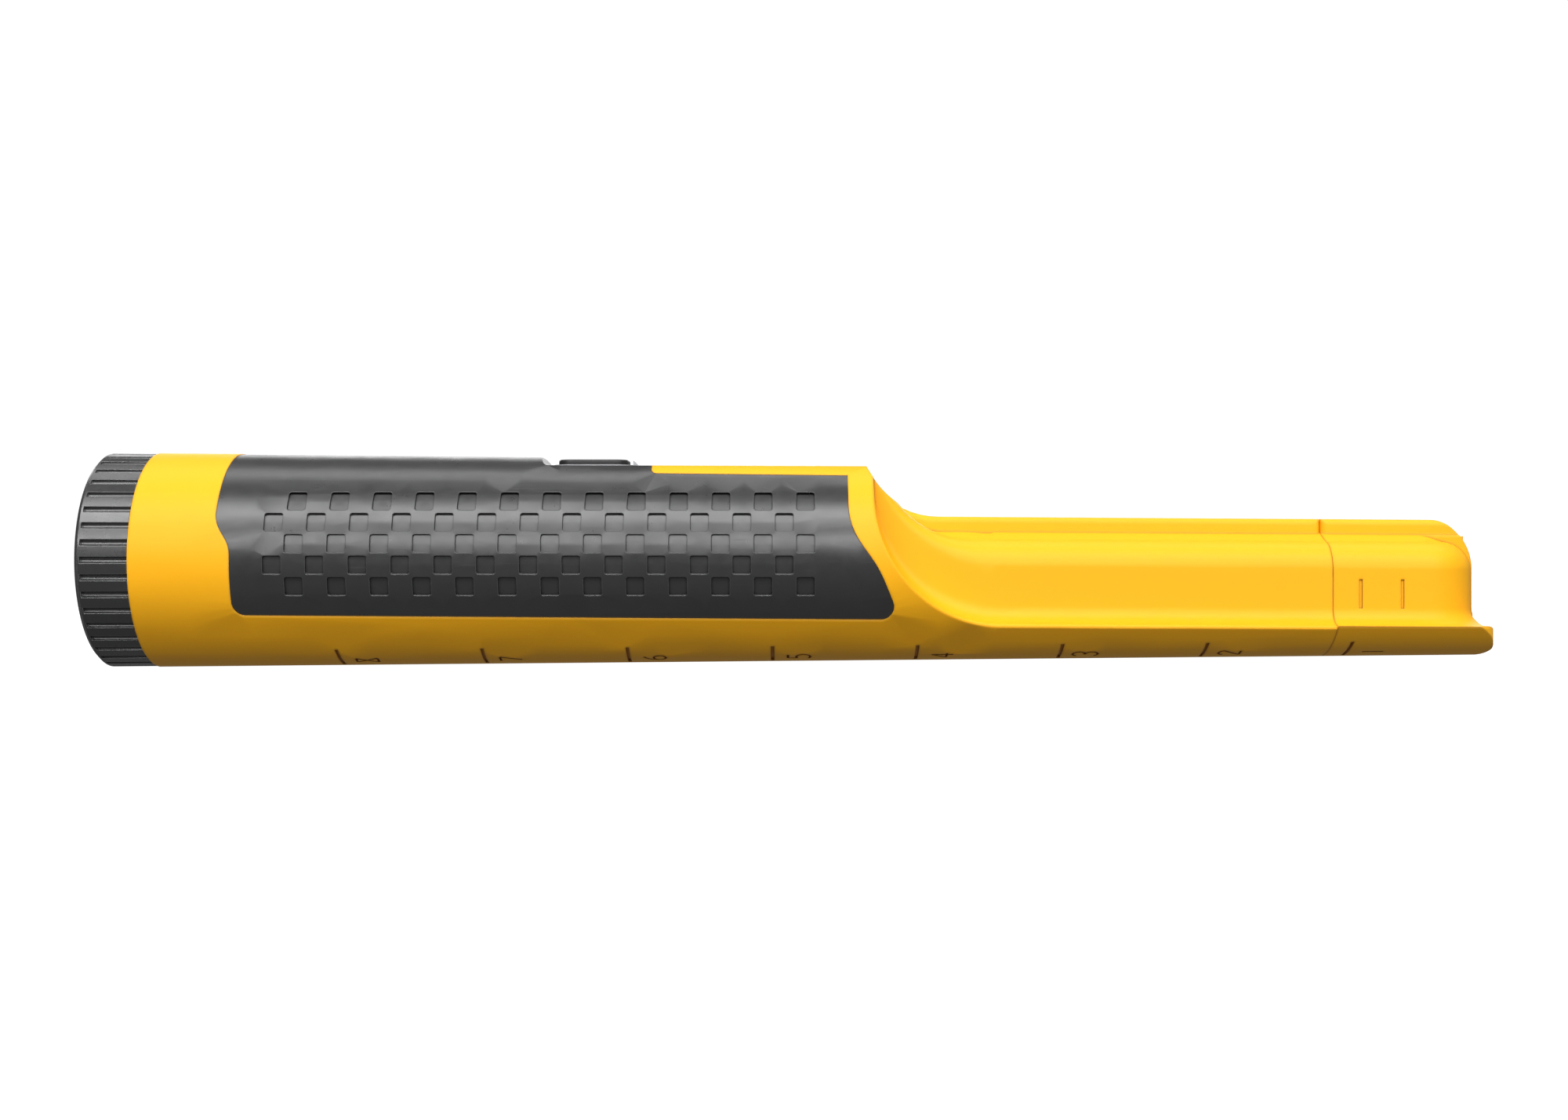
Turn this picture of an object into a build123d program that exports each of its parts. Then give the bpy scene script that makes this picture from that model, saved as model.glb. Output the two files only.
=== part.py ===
from build123d import *
import os
from math import ceil, cos, pi, sin, sqrt

# A hand-held pinpointing metal detector.
# Millimetres. +X runs from the battery cap to the search tip, +Z points up through the button.
# The origin is the centre of the cap's flat end, on the body's axis.

# ---- driving dimensions -------------------------------------------------------------------
overall_length = 246.0
body_radius_rear = 19.3          # the tapered body's radius, carried back to the origin
body_radius_front = 17.05        # and carried forward to the tip's end
seam_gap = 0.1                   # parting line between neighbouring covers
rest_flat_depth = 0.12           # narrow flat along the underside that the detector lies on

# battery cap
cap_length = 9.1                 # ribbed skirt
cap_step = 0.15                  # the skirt is this much under the body
cap_rib_count = 40
cap_rib_depth = 0.55
cap_groove_width = 1.1
cap_end_wall = 2.6
cap_edge_chamfer = 0.7
spigot_length = 11.3
spigot_radius = 16.1
spigot_wall = 2.1

# screw thread and seal
thread_pitch = 3.0
thread_turns = 1.6
thread_depth = 0.8
thread_root_width = 1.5
thread_crest_width = 0.7
thread_clearance = 0.25
thread_offset = 4.8              # from the housing's mouth to the ridge's start
seal_section = 0.88              # radius of the ring's round section
seal_fit = 0.05
seal_groove_width = 2.2
seal_groove_offset = 0.6
seal_bore_depth = 3.6
seal_bore_radius = 17.35

# battery (nine-volt block)
battery_width = 26.5
battery_depth = 17.5
battery_body_length = 46.4
battery_corner = 2.2
terminal_height = 2.1
terminal_pitch = 12.7
terminal_radius_male = 2.9
terminal_radius_female = 4.1
snap_cup_clearance = 0.15
snap_cup_wall = 0.6
terminal_floor = 0.4             # metal left under the socket's hollow
battery_end_chamfer = 0.5
snap_inset = (0.6, 1.6)          # the connector plate is this much inside the cell's sides
pad_gap = 0.3
battery_clearance = 2.5          # behind the cell, taken up by the foam plug
snap_gap = 0.2
snap_overlap = 0.1
bulkhead_thickness = 2.0
bulkhead_clearance = 0.15
battery_bore_clearance = 0.3

# housing
electronics_bore_radius = 14.0
electronics_length = 56.0

# rubber grip
grip_thickness = 1.4
grip_inset = 0.12                # the rubber lies this much under the yellow body
grip_start = 23.8
grip_step = 2.7
grip_step_heights = (8.2, 4.4, 0.8)
grip_top_end = 97.8
grip_end_top = 132.1
grip_end_low = 141.2
grip_lower_edge_rear = -9.5
grip_lower_edge_front = -10.3
grip_front_belly = (4.3, -1.0)   # back from the lower corner, and its height
grip_front_high = 9.6
grip_front_lean = (-0.55, 1)
strip_half_width = 10.2
grip_corner_radius = 2.2
dimple_side = 3.15
dimple_depth = 0.45
dimple_corner = 0.4
dimple_pitch = 7.28
dimple_row_pitch = 3.65
dimple_rows = 5
dimple_columns = 13
dimple_first_x = 33.7
dimple_top_z = 10.1

# top flat, button and lamp
flat_start = 77.0
flat_ramp_length = 2.5
flat_ramp_lead = (0.2, 0.05)     # start of the ramp behind and above the round body
flat_ramp_ease = 0.45
flat_height = 16.7
flat_fall = 0.0028               # drop of the flat per millimetre of length
button_start = 80.7
button_length = 12.5
button_width = 8.0
button_proud = 1.25
button_corner = 2.4
button_travel = 0.8
button_clearance = 0.3
button_flange = 0.6
button_flange_thickness = 1.0
button_flange_gap = 0.3
button_edge_round = 0.35
housing_wall_at_button = 1.5
switch_reach = 2.0
bezel_width = 0.55
bezel_height = 0.3
lens_ramp = 1.05
lens_width = 4.6
lens_length = 3.0
lamp_gap = 0.3
plate_start = 99.8
plate_length = 27.7
plate_half_width = 6.6
plate_thickness = 0.4
plate_proud = 0.08
plate_corner = 1.2
plate_slack = 0.1

# shoulder and probe
spine_scoop_radius = 14.3
spine_scoop_x = 148.7
spine_top_z = 7.8
spine_half_width = 2.0
scoop_wall_x = 136.6
valley_scoop_radius = 12.6
wing_scoop_radius = 22.0
valley_z = 5.1
spine_round = 1.1
wing_round = 0.45
brow_y = 5.0
brow_z = 3.8
brow_side_y = 8.5
brow_side_z = 1.9
flank_half_width = 9.7
flank_top_z = -1.1
flank_low_z = -8.0
wing_fillet = 3.0
probe_fall = 0.0065              # drop of the probe's upper surfaces per millimetre

# search tip
tip_length = 28.9
nose_length = 20.6
nose_fit = 0.06
nose_wall = 1.4
cavity_centre_z = -4.0
upper_tip_setback = 2.0
wing_tip_round = 7.0
wing_end_half_width = 13.2
tip_bottom_radius = 1.5
tip_top_radius = 1.8
tip_ridge_margin = 0.4
tip_brow_length = 7.1            # along X, where the spine's end rounds down
tip_brow_drop = 8.7
catch_mark_places = (4.6, 11.9)  # from the seam
catch_mark_depth = 0.2
catch_mark_top_z = -2.9

# inch scale on the underside
inch = 25.4
scale_marks = 8
scale_mark_width = 0.6
scale_mark_depth = 0.45
scale_mark_from = 56.0           # degrees below the horizontal
scale_mark_to = 79.0
numeral_height = 3.8
numeral_stroke = 0.42
numeral_angle = 70.0
numeral_offset = 4.6

# circuit board and what it carries
board_half_width = 11.0
board_thickness = 1.6
board_top_z = 6.6
board_start_gap = 2.1
board_length = 50.0
rail_width = 4.0
rail_height = 2.0
switch_side = 6.0
switch_height = 3.5
plunger_radius = 1.7
plunger_fit = 0.06
switch_floor = 0.8
switch_spare_travel = 0.3
stem_margin = 0.8                # the button's stem is this much wider than the plunger
screw_radius = 1.0
screw_head_radius = 1.8
screw_inset = 3.0
screw_side_inset = 2.0
chip_side = 7.0
capacitor_radius = 2.0
capacitor_height = 5.0
buzzer_radius = 6.0
buzzer_height = 4.4
lamp_radius = 1.4
lamp_base = (1.0, 0.4)           # height of the rim, and its reach past the lamp
lead_radius = 0.5
lead_spacing = 8.0
lead_height = 9.6
lead_landing = 2.4
lead_bend = 1.5
lead_clearance = 0.2
lead_end_inset = 2.0             # from the board's front edge to where the coil's leads end
board_corner = 1.0
screw_head_height = 1.2
screw_slot = (0.5, 0.5)          # width and depth
coil_lead_notch = 1.0
rail_overhang = 1.4
front_plate_gap = 0.5
front_plate_thickness = 2.0
chip_place = 30.0
chip_heights = (0.2, 1.4)        # underside and top above the board
chip_chamfer = 0.2
chip_legs = 8
leg_size = (1.0, 0.3, 0.5)       # reach past the body, width and height
capacitor_spacing = 12.0
capacitor_offset = 10.0          # in front of the chip
capacitor_round = 0.3
small_part_size = (1.6, 1.0, 0.6)
small_part_rows = (-7.5, -5.0, 5.0, 7.5)
small_part_columns = 6
small_part_pitch = 2.6
small_part_offset = 6.5          # the first column, behind the chip's middle
buzzer_inset = 4.0
buzzer_port = (1.0, 1.2)         # radius and depth

# vibration motor
motor_radius = 3.5
motor_length = 13.0
motor_shaft_radius = 0.5
motor_shaft_length = 5.5
motor_weight_radius = 4.2
motor_weight_length = 4.0
motor_fit = 0.04
motor_holder_wall = 1.0
motor_offset = 8.0               # behind it, from the sounder's inset edge
motor_bearing_depth = 3.0
motor_shaft_inset = 2.5
motor_weight_cut = 0.9           # the weight's flat, above the shaft's middle
motor_holder_inset = 1.0
motor_holder_length = 10.0

# search coil
ferrite_radius = 4.0
ferrite_length = 88.0
ferrite_fit = 0.05
bobbin_wall = 0.9
bobbin_flange_thickness = 1.6
bobbin_flange_margin = 0.15      # the flanges reach this far past the screen
bobbin_fit = 0.3
winding_length = 52.0
winding_thickness = 0.6
shield_thickness = 0.2
tail_radius = 3.0
bumper_thickness = 2.0
coil_lead_radius = 0.3
coil_lead_spacing = 2.4
coil_lead_gap = 0.1

# ---- places worked out from them ------------------------------------------------------------
mouth_x = cap_length + seam_gap
spigot_end = cap_length + spigot_length
battery_start = spigot_end + battery_clearance
battery_front = battery_start + battery_body_length
battery_bore_radius = sqrt(battery_width ** 2 + battery_depth ** 2) / 2 + battery_bore_clearance
snap_start = battery_front + snap_gap
snap_end = snap_start + terminal_height + snap_overlap
bulkhead_start = snap_end + snap_gap
bulkhead_end = bulkhead_start + bulkhead_thickness
bay_end = bulkhead_end + electronics_length
board_start = bulkhead_end + board_start_gap
board_end = board_start + board_length
board_low_z = board_top_z - board_thickness
button_centre_x = button_start + button_length / 2
seam_x = overall_length - tip_length
tip_start = seam_x + seam_gap
nose_end = seam_x + nose_length
bobbin_radius = ferrite_radius + ferrite_fit + bobbin_wall
screen_radius = bobbin_radius + winding_thickness + shield_thickness
flange_radius = screen_radius + bobbin_flange_margin
cavity_radius = flange_radius + bobbin_fit
nose_radius = cavity_radius + nose_wall
cavity_end = nose_end - nose_wall
far = 60.0                       # reach of cutting tools, past every surface
overcut = 1.0                    # reach of a cut past the face that it opens


def body_radius(x):
    """Outside radius of the tapered body at a distance x from the cap's end."""
    return body_radius_rear - (body_radius_rear - body_radius_front) * x / overall_length


def flat_z(x):
    """Height of the flat along the top, which falls gently towards the tip."""
    return flat_height - flat_fall * (x - flat_start)


# ---- shape helpers --------------------------------------------------------------------------
def turned(*points):
    """Solid of revolution about the X axis from (x, radius) points."""
    return revolve(make_face(Plane.XZ * Polyline(*points, close=True)), Axis.X)


def rod_x(start, end, radius, y=0.0, z=0.0):
    """Cylinder along X."""
    return Pos((start + end) / 2, y, z) * Rot(0, 90, 0) * Cylinder(radius, end - start)


def rod_z(x, y, low, high, radius):
    """Cylinder along Z."""
    return Pos(x, y, (low + high) / 2) * Cylinder(radius, high - low)


def block(x, y, z):
    """Box from three (low, high) pairs."""
    sizes = [high - low for low, high in (x, y, z)]
    return Pos(sum(x) / 2, sum(y) / 2, sum(z) / 2) * Box(*sizes)


def rounded_slab(centre_x, length, width, corner, low, high):
    """Upright slab with rounded corners in plan."""
    outline = Pos(centre_x, 0, low) * RectangleRounded(length, width, corner)
    return extrude(outline, high - low)


def side_prism(outline, half_width=far):
    """Prism across the body from an outline in X and Z."""
    return extrude(make_face(Plane.XZ * outline), half_width, both=True)


def cone_shell(start, end, outer_inset, inner_inset=None):
    """Length of the tapered body's skin between two depths, or solid with no inner depth."""
    outer = [(start, body_radius(start) - outer_inset), (end, body_radius(end) - outer_inset)]
    if inner_inset is None:
        return turned((start, 0), *outer, (end, 0))
    inner = [(end, body_radius(end) - inner_inset), (start, body_radius(start) - inner_inset)]
    return turned(*outer, *inner)


def mirrored_pair(shape):
    """A shape and its mirror image across the middle plane."""
    return [shape, mirror(shape, Plane.XZ)]


def group(shapes):
    """Separate solids kept together as one node."""
    return Compound(children=[solid for shape in shapes for solid in shape.solids()])


def wire_run(points, radius, bend):
    """Round wire along straight runs joined by arcs."""
    path = FilletPolyline(*points, radius=bend)
    start = Plane(origin=path @ 0, z_dir=path % 0)
    return sweep(start * Circle(radius), path=path)


# ---- screw thread ---------------------------------------------------------------------------
def thread_solid(clearance, start_x, turns):
    """Helical ridge about X, lofted through sections; its root sinks into the spigot."""
    sink = 0.3
    root_half = thread_root_width / 2 + clearance
    crest_half = thread_crest_width / 2 + clearance
    crest_radius = spigot_radius + thread_depth + clearance
    count = ceil(turns * 12)
    sections = []
    for step in range(count + 1):
        share = turns * step / count
        x = start_x + thread_pitch * share
        outline = Polyline((x - root_half, spigot_radius - sink), (x - root_half, spigot_radius),
                           (x - crest_half, crest_radius), (x + crest_half, crest_radius),
                           (x + root_half, spigot_radius), (x + root_half, spigot_radius - sink), close=True)
        sections.append(Rot(360 * share, 0, 0) * make_face(Plane.XZ * outline))
    return loft(sections)


# ---- body shape -----------------------------------------------------------------------------
def top_flat_cutter():
    """Everything above the flat on top, with an S-shaped ramp at its start."""
    middle = flat_start + flat_ramp_length / 2
    top = body_radius(flat_start)
    half_z = (top + flat_z(flat_start + flat_ramp_length)) / 2
    ramp_end = flat_start + flat_ramp_length
    flat_from = flat_z(ramp_end)
    lead_x, lead_z = flat_start - flat_ramp_lead[0], top + flat_ramp_lead[1]
    upper = Bezier((lead_x, lead_z), (middle - flat_ramp_ease, top), (middle, half_z))
    lower = Bezier((middle, half_z), (middle + flat_ramp_ease, flat_from), (ramp_end, flat_from))
    rest = Polyline((ramp_end, flat_from), (overall_length, flat_z(overall_length)),
                    (overall_length, far), (lead_x, far), (lead_x, lead_z))
    return side_prism(Curve() + [upper, lower, rest])


def spine_cutter():
    """Space above the shoulder's concave sweep and the spine's top."""
    centre_z = spine_top_z + spine_scoop_radius
    wall_x = spine_scoop_x - spine_scoop_radius
    scoop = RadiusArc((wall_x, centre_z), (spine_scoop_x, spine_top_z), -spine_scoop_radius)
    end_x = overall_length + overcut
    end_z = spine_top_z - probe_fall * (end_x - spine_scoop_x)
    rest = Polyline((spine_scoop_x, spine_top_z), (end_x, end_z), (end_x, far), (wall_x, far),
                    (wall_x, centre_z))
    return side_prism(Curve() + [scoop, rest])


def flank_section(x):
    """Face, at one station, of what is cut away beside the spine on the +Y side."""
    def lifted(y, z, scoop_radius):
        reach = scoop_wall_x + scoop_radius - x
        reach = min(max(reach, 0.0), scoop_radius)
        rise = scoop_radius - sqrt(scoop_radius ** 2 - reach ** 2)
        return (y, z + rise - probe_fall * max(x - spine_scoop_x, 0))

    def radius_at(y):
        share = (y - spine_half_width) / (flank_half_width - spine_half_width)
        return valley_scoop_radius + (wing_scoop_radius - valley_scoop_radius) * min(share, 1.0)

    wing_z = flank_low_z - wing_fillet
    diagonal = wing_fillet * (1 - sqrt(0.5))
    crease = lifted(spine_half_width, valley_z, radius_at(spine_half_width))
    brow = lifted(brow_y, brow_z, radius_at(brow_y))
    brow_side = lifted(brow_side_y, brow_side_z, radius_at(brow_side_y))
    flank_top = lifted(flank_half_width, flank_top_z, wing_scoop_radius)
    flank_low = lifted(flank_half_width, flank_low_z, wing_scoop_radius)
    flare = lifted(flank_half_width + diagonal, wing_z + diagonal, wing_scoop_radius)
    wing_root = lifted(flank_half_width + wing_fillet, wing_z, wing_scoop_radius)
    wing_out = (far, wing_root[1])
    edges = [
        Line(crease, brow),
        ThreePointArc(brow, brow_side, flank_top),
        Line(flank_top, flank_low),
        ThreePointArc(flank_low, flare, wing_root),
        Polyline(wing_root, wing_out, (far, far), (spine_half_width, far), crease),
    ]
    station = Plane(origin=(x, 0, 0), x_dir=(0, 1, 0), z_dir=(1, 0, 0))
    return make_face(station * (Curve() + edges))


def flank_cutters(start, end):
    """Space beside the spine: a scooped start at the shoulder, then straight along the probe."""
    steps = 8
    angles = [pi / 2 * step / steps for step in range(steps + 1)]
    stations = [scoop_wall_x + wing_scoop_radius * (1 - cos(angle)) for angle in angles]
    cutters = []
    if start < stations[-1]:
        cutters += mirrored_pair(loft([flank_section(x) for x in stations]))
    straight_start = max(start - 1, stations[-1])
    cutters += mirrored_pair(loft([flank_section(straight_start), flank_section(end)], ruled=True))
    return cutters


def body_blank(start, end):
    """Outer form of the detector between two stations, before covers and grip are cut."""
    blank = cone_shell(start, end, 0.0)
    blank -= top_flat_cutter()
    blank -= spine_cutter()
    for cutter in flank_cutters(start, end + 1):
        blank -= cutter
    return rounded_wings(rounded_spine(blank)) - rest_flat_cutter()


def rest_flat_z(x):
    """Height of the narrow flat on the underside."""
    return rest_flat_depth - body_radius(x)


def rest_flat_cutter():
    """Space under the flat."""
    rear, front = -overcut, overall_length + overcut
    outline = Polyline((rear, rest_flat_z(rear)), (front, rest_flat_z(front)), (front, -far), (rear, -far),
                       close=True)
    return side_prism(outline)


def rounded_spine(blank):
    """The same form with the spine's two upper edges rounded."""
    edges = [edge for edge in blank.edges() if edge.length > overcut
             and edge.center().Z > spine_top_z - spine_half_width
             and abs(abs(edge.center().Y) - spine_half_width) < seam_gap]
    return blank.fillet(spine_round, edges)


def rounded_wings(blank):
    """The same form with the wings' outer upper edges rounded."""
    edge_z = wing_top_z((spine_scoop_x + seam_x) / 2)
    root_y = flank_half_width + wing_fillet
    edges = [edge for edge in blank.edges() if edge.length > wing_fillet
             and abs(edge.center().Z - edge_z) < wing_round and abs(edge.center().Y) > root_y + seam_gap]
    return blank.fillet(wing_round, edges)


def tip_blank():
    """Outer form of the search tip: the probe's section carried round a rounded end."""
    turn_x = overall_length - upper_tip_setback - flank_half_width
    blank = cone_shell(tip_start, overall_length, 0.0)
    blank -= spine_cutter()
    for cutter in flank_cutters(tip_start, overall_length + overcut):
        blank -= cutter
    blank = rounded_spine(blank)
    turn_axis = Axis((turn_x, 0, 0), (0, 0, -1))
    end_cutter = revolve(flank_section(turn_x), turn_axis, 180)
    zone_half = spine_half_width + tip_ridge_margin
    ridge_zone = block((turn_x - overcut, overall_length + overcut), (-zone_half, zone_half), (-far, far))
    blank -= end_cutter - ridge_zone
    blank -= ridge_end_cutter() & ridge_zone
    blank -= wing_top_cutter()
    return blank & wing_end_keep() & underside_keep()


def wing_top_z(x):
    """Height of the wings' upper face."""
    return flank_low_z - wing_fillet - probe_fall * (x - spine_scoop_x)


def wing_top_cutter():
    """Space above the wings' end, whose upper edge is rounded."""
    start, z = overall_length - tip_top_radius, wing_top_z(overall_length)
    round_off = RadiusArc((start, z), (overall_length, z - tip_top_radius), tip_top_radius)
    rest = Polyline((overall_length, z - tip_top_radius), (overall_length + overcut, z - tip_top_radius),
                    (overall_length + overcut, far), (start, far), (start, z))
    return side_prism(Curve() + [round_off, rest])


def wing_end_keep():
    """Upright slab whose front corners round off the wings in plan."""
    rear = tip_start - overcut
    slab = block((rear, overall_length), (-wing_end_half_width, wing_end_half_width), (-far, far))
    front_corners = slab.edges().filter_by(Axis.Z).group_by(Axis.X)[-1]
    return fillet(front_corners, wing_tip_round)


def ridge_end_cutter():
    """Space in front of the spine's end, which rounds down and flares into the wings."""
    front_x = overall_length - upper_tip_setback
    wing_z = wing_top_z(front_x - flank_half_width)
    top_z = spine_top_z - probe_fall * (front_x - tip_brow_length - spine_scoop_x)
    brow_start, brow_end = (front_x - tip_brow_length, top_z), (front_x, top_z - tip_brow_drop)
    brow = Bezier(brow_start, (front_x - tip_brow_length / 2, top_z),
                  (front_x, top_z - tip_brow_drop / 2), brow_end)
    low = (front_x, wing_z + wing_fillet)
    flare = RadiusArc(low, (front_x + wing_fillet, wing_z), -wing_fillet)
    rest = Polyline((front_x + wing_fillet, wing_z), (front_x + far, wing_z), (front_x + far, far),
                    (brow_start[0], far), brow_start)
    return side_prism(Curve() + [brow, Line(brow_end, low), flare, rest])


def underside_keep():
    """Everything above the flat, with the corner under the wings' end rounded."""
    rear = tip_start - overcut
    outline = Polyline((rear, rest_flat_z(rear)), (overall_length, rest_flat_z(overall_length)),
                       (overall_length, far), (rear, far), close=True)
    slab = side_prism(outline)
    corner = slab.edges().filter_by(Axis.Y).sort_by(lambda e: e.center().X - e.center().Z)[-1]
    return fillet(corner, tip_bottom_radius)


def scale_cutters():
    """Tick marks on the underside, one inch apart, measured from the tip."""
    cutters = []
    for count in range(1, scale_marks + 1):
        x = overall_length - inch * count
        radius = body_radius(x)
        ring = rod_x(x - scale_mark_width / 2, x + scale_mark_width / 2, radius + 1)
        ring -= rod_x(x - scale_mark_width, x + scale_mark_width, radius - scale_mark_depth)
        cutters += [ring & sector for sector in sector_pair(x)]
    return cutters


def sector_pair(x):
    """Wedges that keep a tick between its two angles, on both sides."""
    reach = body_radius_rear + 5
    low, high = -scale_mark_from * pi / 180, -scale_mark_to * pi / 180
    wedge = make_face(Plane(origin=(x, 0, 0), x_dir=(0, 1, 0), z_dir=(1, 0, 0)) * Polyline(
        (0, 0), (reach * cos(low), reach * sin(low)), (reach * cos(high), reach * sin(high)), close=True))
    return mirrored_pair(extrude(wedge, scale_mark_width * 2, both=True))


def numeral_strokes(digit):
    """Centre lines of one numeral, drawn in a box of numeral_height with its foot at zero."""
    h, w = numeral_height, numeral_height * 0.28
    if digit == 1:
        return [Line((0, 0), (0, h))]
    if digit == 2:
        return [ThreePointArc((-w, 0.76 * h), (0, h), (w, 0.76 * h)), Line((w, 0.76 * h), (-w, 0)),
                Line((-w, 0), (w, 0))]
    if digit == 3:
        return [ThreePointArc((-w, 0.9 * h), (w, 0.76 * h), (-0.2 * w, 0.54 * h)),
                ThreePointArc((-0.2 * w, 0.54 * h), (w, 0.24 * h), (-w, 0.1 * h))]
    if digit == 4:
        return [Line((0.4 * w, 0), (0.4 * w, h)), Line((0.4 * w, h), (-w, 0.3 * h)),
                Line((-w, 0.3 * h), (w, 0.3 * h))]
    if digit == 5:
        return [Line((0.9 * w, h), (-0.8 * w, h)), Line((-0.8 * w, h), (-0.8 * w, 0.56 * h)),
                ThreePointArc((-0.8 * w, 0.56 * h), (w, 0.34 * h), (-w, 0.06 * h))]
    if digit == 6:
        return [CenterArc((0, 0.28 * h), 0.28 * h, 0, 360),
                ThreePointArc((-w, 0.3 * h), (-0.6 * w, 0.76 * h), (0.6 * w, h))]
    if digit == 7:
        return [Line((-w, h), (w, h)), Line((w, h), (-0.3 * w, 0))]
    return [Line((-w, 0), (w, 0)), Line((w, 0), (-0.9 * w, h)), Line((-0.9 * w, h), (0.9 * w, h)),
            Line((0.9 * w, h), (-w, 0))]


def numeral_cutters():
    """Inch numerals engraved beside their ticks, upright when the tip points down."""
    cutters = []
    for digit in range(1, scale_marks + 1):
        foot_x = overall_length - inch * digit + numeral_offset + numeral_height / 2
        angle = numeral_angle * pi / 180
        radius = body_radius(foot_x)
        for side in (-1, 1):
            outward = Vector(0, side * cos(angle), -sin(angle))
            upward = Vector(-1, 0, 0)
            floor = outward * (radius - scale_mark_depth)
            plane = Plane(origin=(foot_x, floor.Y, floor.Z), x_dir=upward.cross(outward), z_dir=outward)
            for stroke in numeral_strokes(digit):
                cutters.append(extrude(plane * trace(stroke, numeral_stroke), 1.5))
    return cutters


# ---- covers ---------------------------------------------------------------------------------
def grip_outline():
    """Side outline of the rubber grip, from its top rear corner round to its front edge."""
    step_x = grip_start + grip_step
    mid_x = (grip_start + step_x) / 2
    top = far
    step_high, step_middle, step_low = grip_step_heights
    rear_step = Spline((grip_start, step_high), (mid_x, step_middle), (step_x, step_low),
                       tangents=[(0, -1), (0, -1)])
    lower = Polyline((step_x, step_low), (step_x, grip_lower_edge_rear),
                     (grip_end_low, grip_lower_edge_front))
    front_middle = (grip_end_low - grip_front_belly[0], grip_front_belly[1])
    front = Spline((grip_end_low, grip_lower_edge_front), front_middle, (grip_end_top, grip_front_high),
                   tangents=[grip_front_lean, (0, 1)])
    rest = Polyline((grip_end_top, grip_front_high), (grip_end_top, top), (grip_start, top),
                    (grip_start, step_high))
    return Curve() + [rear_step, lower, front, rest]


def grip_region(outer_inset):
    """Skin of the body between a depth and the rubber's underside, level under the top flat."""
    prism = side_prism(grip_outline())
    lower_corners = prism.edges().filter_by(Axis.Y).filter_by(lambda e: e.center().Z < -8)
    prism = fillet(lower_corners, grip_corner_radius)
    skin = cone_shell(grip_start - 1, grip_end_low + 1, outer_inset, grip_thickness)
    under_flat = cone_shell(flat_start - grip_thickness, grip_top_end, outer_inset)
    under_flat &= block((grip_start, grip_top_end), (-far, far), (flat_z(grip_top_end) - grip_thickness, far))
    strip = rounded_slab((grip_top_end + 200) / 2, 200 - grip_top_end, 2 * strip_half_width, 1.0, 0, far)
    return ((skin + under_flat) & prism) - strip - top_flat_cutter()


def dimple_cutters():
    """Rows of square pockets on both sides, alternate rows set half a pitch along."""
    end = dimple_first_x + dimple_pitch * dimple_columns + dimple_side
    skin = cone_shell(grip_start, end, -overcut, grip_inset + dimple_depth)
    cutters = []
    for row in range(dimple_rows):
        z = dimple_top_z - dimple_row_pitch * row
        first = dimple_first_x + (dimple_pitch / 2 if row % 2 == 0 else 0.0)
        for column in range(dimple_columns):
            outline = Plane(origin=(first + dimple_pitch * column, 0, z), x_dir=(1, 0, 0), z_dir=(0, 1, 0))
            pocket = extrude(outline * RectangleRounded(dimple_side, dimple_side, dimple_corner), far)
            cutters += mirrored_pair(pocket & skin)
    return cutters


def grip_sleeve():
    """Overmoulded rubber with its square dimples and the button's opening."""
    sleeve = grip_region(grip_inset)
    sleeve -= [*dimple_cutters(), button_opening(), lens_opening()]
    return sleeve


def button_opening():
    """Slot through grip and housing for the button and its bezel."""
    slack = 2 * (button_clearance + bezel_width)
    return rounded_slab(button_centre_x, button_length + slack, button_width + slack,
                        button_corner + slack / 2, flat_height - grip_thickness - 1.0, far)


def lens_opening():
    """Slot for the lamp's lens, in front of the button."""
    start = lens_start()
    return block((start, start + lens_length), (-lens_width / 2, lens_width / 2), (board_top_z, far))


def lens_start():
    """Rear face of the lens, just clear of the button's bezel."""
    return button_start + button_length + button_clearance + bezel_width


def thread_groove():
    """Helical groove in the housing's mouth that the cap's ridge runs in."""
    extra_turns = 1              # runs the groove out through the mouth
    start = thread_start() - thread_pitch * extra_turns
    return thread_solid(thread_clearance, start, thread_turns + extra_turns + 0.1)


def thread_start():
    """Station where the ridge's middle line begins."""
    return mouth_x + thread_offset


def housing_bore():
    """Everything hollow in the housing, from the mouth to the nose."""
    crest = spigot_radius + thread_clearance
    seal_end = mouth_x + seal_bore_depth
    bay_start = spigot_end + overcut
    mouth = turned((mouth_x - overcut, 0), (mouth_x - overcut, seal_bore_radius),
                   (seal_end, seal_bore_radius), (seal_end, crest), (bay_start, crest), (bay_start, 0))
    battery_bay = rod_x(spigot_end, bulkhead_end, battery_bore_radius)
    electronics_bay = rod_x(bulkhead_end - overcut, bay_end, electronics_bore_radius)
    probe_cavity = rod_x(bay_end - overcut, cavity_end, cavity_radius, z=cavity_centre_z)
    return mouth + battery_bay + electronics_bay + probe_cavity


def flange_pocket():
    """Level pocket inside the housing that the button's flange moves in."""
    slack = 2 * (button_clearance + button_flange)
    return rounded_slab(button_centre_x, button_length + slack, button_width + slack,
                        button_corner + slack / 2, 0, wall_under_z())


def wall_under_z():
    """Underside of the housing wall at the button."""
    return flat_z(button_centre_x) - grip_thickness - housing_wall_at_button


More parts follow.
